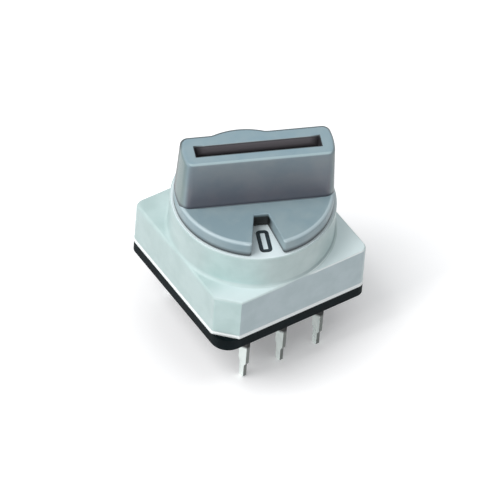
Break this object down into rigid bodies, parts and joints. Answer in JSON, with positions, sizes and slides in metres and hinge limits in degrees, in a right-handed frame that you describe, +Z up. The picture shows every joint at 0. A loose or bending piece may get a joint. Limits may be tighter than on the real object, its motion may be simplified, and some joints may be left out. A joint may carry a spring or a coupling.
{
  "type": "rotary dip switch",
  "caption": "Sealed rotary coded switch for a circuit board: square housing with a round collar, finned knob that clicks round, and two rows of pins.",
  "frame": {"origin": "centre of the seating face under the base, which meets the board", "axes": "+Z up along the knob's axis; X along the rows of pins; the housing's cut-off corner, at pin 1, is at -X -Y"},
  "size_m": [0.01, 0.01, 0.0144],
  "materials": {
    "housing_grey": "satin moulded",
    "base_black": "satin moulded",
    "seal_resin": "cured resin",
    "tinned_brass": "tin plated",
    "gilt_contact": "gold plated",
    "rotor_white": "moulded",
    "spring_steel": "rolled",
    "washer_nylon": "stamped",
    "seal_rubber": "moulded",
    "knob_grey": "satin moulded"
  },
  "bodies": {
    "switch_body": {"housing": "housing_grey", "base": "base_black", "pin_seal_front": "seal_resin", "pin_seal_back": "seal_resin", "terminal_1": "tinned_brass", "terminal_common_front": "tinned_brass", "terminal_2": "tinned_brass", "terminal_4": "tinned_brass", "terminal_common_back": "tinned_brass", "terminal_8": "tinned_brass", "contact_1": "gilt_contact", "contact_common_front": "gilt_contact", "contact_2": "gilt_contact", "contact_4": "gilt_contact", "contact_common_back": "gilt_contact", "contact_8": "gilt_contact"},
    "knob": {"knob": "knob_grey", "rotor": "rotor_white", "code_plate": "gilt_contact", "detent_spring": "spring_steel", "thrust_washer": "washer_nylon", "seal_ring": "seal_rubber"}
  },
  "joints": [
    {"name": "knob_turn", "type": "hinge", "parent": "switch_body", "child": "knob", "pos_m": [0, 0, 0], "axis": [0, 0, 1], "continuous": true, "deforming": ["detent_spring"]}
  ]
}
